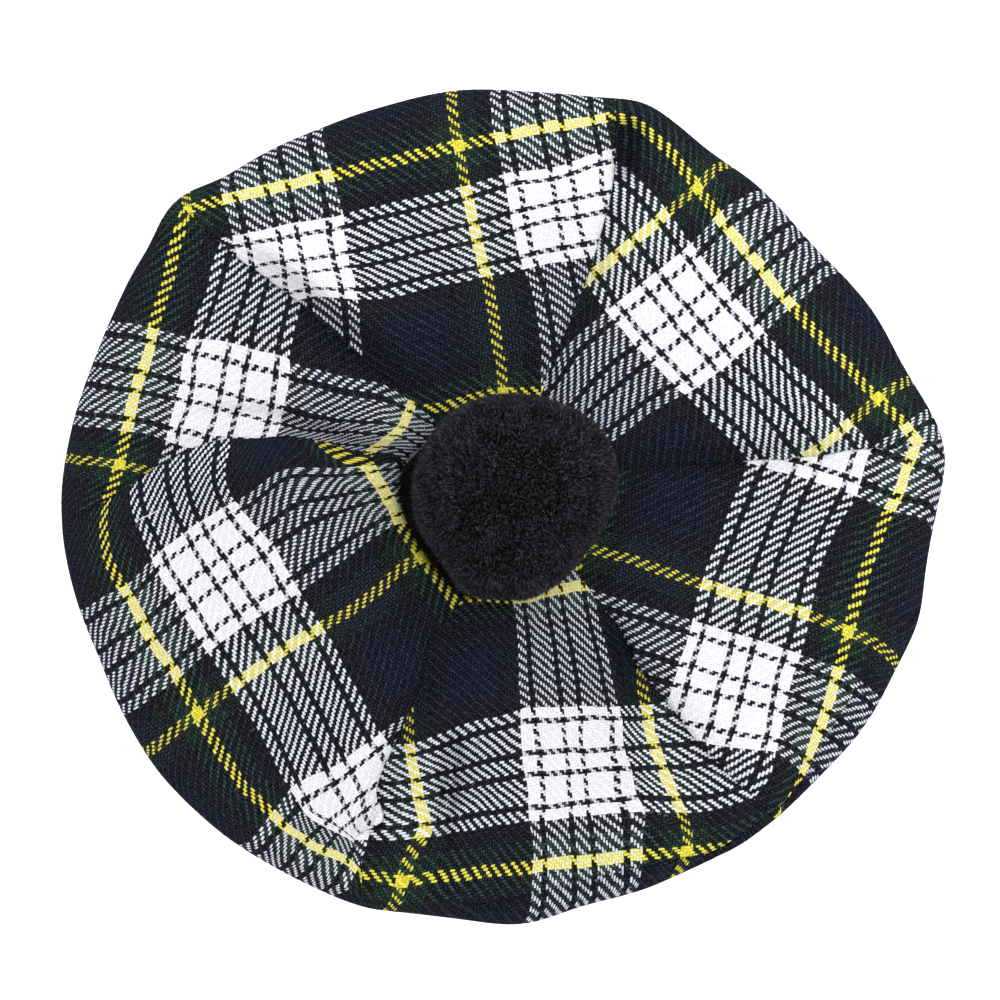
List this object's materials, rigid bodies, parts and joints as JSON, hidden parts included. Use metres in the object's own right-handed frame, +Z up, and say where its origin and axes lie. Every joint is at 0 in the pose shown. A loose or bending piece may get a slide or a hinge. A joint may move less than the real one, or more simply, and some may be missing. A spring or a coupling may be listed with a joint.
{
  "type": "tam o shanter",
  "caption": "Round soft cloth cap of sewn tartan gores with a wide flat crown, an upright headband and a clipped pompom.",
  "frame": {"origin": "centre of the base of the bounding box, on the surface that the headband rests on", "axes": "+Z up through the crown; +Y towards the first crown gore, at the top of the reference view; +X to its right"},
  "size_m": [0.2818, 0.266, 0.1206],
  "materials": {
    "tartan_wool": "woven twill, soft matt, in navy, black, dark green, white and yellow",
    "band_cloth": "the same twill, folded",
    "pompom_pile": "dense clipped black pile"
  },
  "bodies": {
    "root": {"crown_gore_1": "tartan_wool", "crown_gore_2": "tartan_wool", "crown_gore_3": "tartan_wool", "crown_gore_4": "tartan_wool", "crown_gore_5": "tartan_wool", "crown_gore_6": "tartan_wool", "headband": "band_cloth", "pompom": "pompom_pile"}
  },
  "joints": []
}
